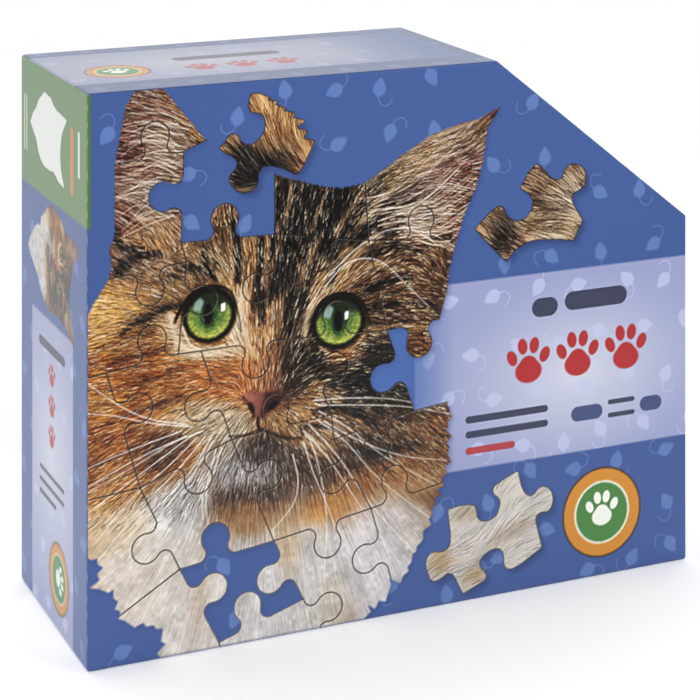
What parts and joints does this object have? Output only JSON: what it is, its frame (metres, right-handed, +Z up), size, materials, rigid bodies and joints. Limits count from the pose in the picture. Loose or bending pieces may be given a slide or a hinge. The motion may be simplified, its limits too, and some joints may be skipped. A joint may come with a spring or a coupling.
{
  "type": "boxed jigsaw puzzle",
  "caption": "Rigid telescoping gift box with one corner cut off and a printed cat picture, holding the interlocking pieces of a head-shaped jigsaw and a folded picture leaflet.",
  "frame": {"origin": "bottom centre of the closed box standing on its lower edge", "axes": "+Z up, +X to the right seen from the front, -Y out of the printed front; the lid slides off along -Y"},
  "size_m": [0.24, 0.085, 0.198],
  "materials": {
    "greyboard": "matte",
    "lid_print": "gloss-laminated print",
    "tray_print": "gloss-laminated print",
    "gummed_paper": "matte",
    "leaflet_paper": "satin",
    "puzzle_board": "satin print on greyboard"
  },
  "bodies": {
    "tray": {"tray_board": "greyboard", "tray_wrap": "tray_print", "tray_corner_stays": "gummed_paper"},
    "lid": {"lid_board": "greyboard", "lid_wrap": "lid_print", "lid_corner_stays": "gummed_paper"},
    "leaflet": {"picture_leaflet": "leaflet_paper"},
    "piece_01": {"puzzle_piece_01": "puzzle_board"},
    "piece_02": {"puzzle_piece_02": "puzzle_board"},
    "piece_03": {"puzzle_piece_03": "puzzle_board"},
    "piece_04": {"puzzle_piece_04": "puzzle_board"},
    "piece_05": {"puzzle_piece_05": "puzzle_board"},
    "piece_06": {"puzzle_piece_06": "puzzle_board"},
    "piece_07": {"puzzle_piece_07": "puzzle_board"},
    "piece_08": {"puzzle_piece_08": "puzzle_board"},
    "piece_09": {"puzzle_piece_09": "puzzle_board"},
    "piece_10": {"puzzle_piece_10": "puzzle_board"},
    "piece_11": {"puzzle_piece_11": "puzzle_board"},
    "piece_12": {"puzzle_piece_12": "puzzle_board"},
    "piece_13": {"puzzle_piece_13": "puzzle_board"},
    "piece_14": {"puzzle_piece_14": "puzzle_board"},
    "piece_15": {"puzzle_piece_15": "puzzle_board"},
    "piece_16": {"puzzle_piece_16": "puzzle_board"},
    "piece_17": {"puzzle_piece_17": "puzzle_board"},
    "piece_18": {"puzzle_piece_18": "puzzle_board"},
    "piece_19": {"puzzle_piece_19": "puzzle_board"},
    "piece_20": {"puzzle_piece_20": "puzzle_board"},
    "piece_21": {"puzzle_piece_21": "puzzle_board"},
    "piece_22": {"puzzle_piece_22": "puzzle_board"},
    "piece_23": {"puzzle_piece_23": "puzzle_board"},
    "piece_24": {"puzzle_piece_24": "puzzle_board"}
  },
  "joints": [
    {"name": "lid_slide", "type": "slide", "parent": "tray", "child": "lid", "axis": [0, -1, 0], "range_m": [0, 0.3]},
    {"name": "leaflet_lift", "type": "slide", "parent": "tray", "child": "leaflet", "axis": [0, -1, 0], "range_m": [0, 0.2585]},
    {"name": "piece_01_lift", "type": "slide", "parent": "tray", "child": "piece_01", "axis": [0, -1, 0], "range_m": [0, 0.0905]},
    {"name": "piece_02_lift", "type": "slide", "parent": "tray", "child": "piece_02", "axis": [0, -1, 0], "range_m": [0, 0.2105]},
    {"name": "piece_03_lift", "type": "slide", "parent": "tray", "child": "piece_03", "axis": [0, -1, 0], "range_m": [0, 0.1145]},
    {"name": "piece_04_lift", "type": "slide", "parent": "tray", "child": "piece_04", "axis": [0, -1, 0], "range_m": [0, 0.1865]},
    {"name": "piece_05_lift", "type": "slide", "parent": "tray", "child": "piece_05", "axis": [0, -1, 0], "range_m": [0, 0.1145]},
    {"name": "piece_06_lift", "type": "slide", "parent": "tray", "child": "piece_06", "axis": [0, -1, 0], "range_m": [0, 0.1625]},
    {"name": "piece_07_lift", "type": "slide", "parent": "tray", "child": "piece_07", "axis": [0, -1, 0], "range_m": [0, 0.0905]},
    {"name": "piece_08_lift", "type": "slide", "parent": "tray", "child": "piece_08", "axis": [0, -1, 0], "range_m": [0, 0.1625]},
    {"name": "piece_09_lift", "type": "slide", "parent": "tray", "child": "piece_09", "axis": [0, -1, 0], "range_m": [0, 0.1385]},
    {"name": "piece_10_lift", "type": "slide", "parent": "tray", "child": "piece_10", "axis": [0, -1, 0], "range_m": [0, 0.2105]},
    {"name": "piece_11_lift", "type": "slide", "parent": "tray", "child": "piece_11", "axis": [0, -1, 0], "range_m": [0, 0.1385]},
    {"name": "piece_12_lift", "type": "slide", "parent": "tray", "child": "piece_12", "axis": [0, -1, 0], "range_m": [0, 0.1625]},
    {"name": "piece_13_lift", "type": "slide", "parent": "tray", "child": "piece_13", "axis": [0, -1, 0], "range_m": [0, 0.2105]},
    {"name": "piece_14_lift", "type": "slide", "parent": "tray", "child": "piece_14", "axis": [0, -1, 0], "range_m": [0, 0.1865]},
    {"name": "piece_15_lift", "type": "slide", "parent": "tray", "child": "piece_15", "axis": [0, -1, 0], "range_m": [0, 0.1865]},
    {"name": "piece_16_lift", "type": "slide", "parent": "tray", "child": "piece_16", "axis": [0, -1, 0], "range_m": [0, 0.1145]},
    {"name": "piece_17_lift", "type": "slide", "parent": "tray", "child": "piece_17", "axis": [0, -1, 0], "range_m": [0, 0.1385]},
    {"name": "piece_18_lift", "type": "slide", "parent": "tray", "child": "piece_18", "axis": [0, -1, 0], "range_m": [0, 0.0905]},
    {"name": "piece_19_lift", "type": "slide", "parent": "tray", "child": "piece_19", "axis": [0, -1, 0], "range_m": [0, 0.1625]},
    {"name": "piece_20_lift", "type": "slide", "parent": "tray", "child": "piece_20", "axis": [0, -1, 0], "range_m": [0, 0.1145]},
    {"name": "piece_21_lift", "type": "slide", "parent": "tray", "child": "piece_21", "axis": [0, -1, 0], "range_m": [0, 0.1865]},
    {"name": "piece_22_lift", "type": "slide", "parent": "tray", "child": "piece_22", "axis": [0, -1, 0], "range_m": [0, 0.2105]},
    {"name": "piece_23_lift", "type": "slide", "parent": "tray", "child": "piece_23", "axis": [0, -1, 0], "range_m": [0, 0.0905]},
    {"name": "piece_24_lift", "type": "slide", "parent": "tray", "child": "piece_24", "axis": [0, -1, 0], "range_m": [0, 0.1385]}
  ],
  "couplings": [
    {"joint": "leaflet_lift", "follows": "lid_slide", "ratio": 0.86},
    {"joint": "piece_01_lift", "follows": "lid_slide", "ratio": 0.3},
    {"joint": "piece_02_lift", "follows": "lid_slide", "ratio": 0.7},
    {"joint": "piece_03_lift", "follows": "lid_slide", "ratio": 0.38},
    {"joint": "piece_04_lift", "follows": "lid_slide", "ratio": 0.62},
    {"joint": "piece_05_lift", "follows": "lid_slide", "ratio": 0.38},
    {"joint": "piece_06_lift", "follows": "lid_slide", "ratio": 0.54},
    {"joint": "piece_07_lift", "follows": "lid_slide", "ratio": 0.3},
    {"joint": "piece_08_lift", "follows": "lid_slide", "ratio": 0.54},
    {"joint": "piece_09_lift", "follows": "lid_slide", "ratio": 0.46},
    {"joint": "piece_10_lift", "follows": "lid_slide", "ratio": 0.7},
    {"joint": "piece_11_lift", "follows": "lid_slide", "ratio": 0.46},
    {"joint": "piece_12_lift", "follows": "lid_slide", "ratio": 0.54},
    {"joint": "piece_13_lift", "follows": "lid_slide", "ratio": 0.7},
    {"joint": "piece_14_lift", "follows": "lid_slide", "ratio": 0.62},
    {"joint": "piece_15_lift", "follows": "lid_slide", "ratio": 0.62},
    {"joint": "piece_16_lift", "follows": "lid_slide", "ratio": 0.38},
    {"joint": "piece_17_lift", "follows": "lid_slide", "ratio": 0.46},
    {"joint": "piece_18_lift", "follows": "lid_slide", "ratio": 0.3},
    {"joint": "piece_19_lift", "follows": "lid_slide", "ratio": 0.54},
    {"joint": "piece_20_lift", "follows": "lid_slide", "ratio": 0.38},
    {"joint": "piece_21_lift", "follows": "lid_slide", "ratio": 0.62},
    {"joint": "piece_22_lift", "follows": "lid_slide", "ratio": 0.7},
    {"joint": "piece_23_lift", "follows": "lid_slide", "ratio": 0.3},
    {"joint": "piece_24_lift", "follows": "lid_slide", "ratio": 0.46}
  ]
}
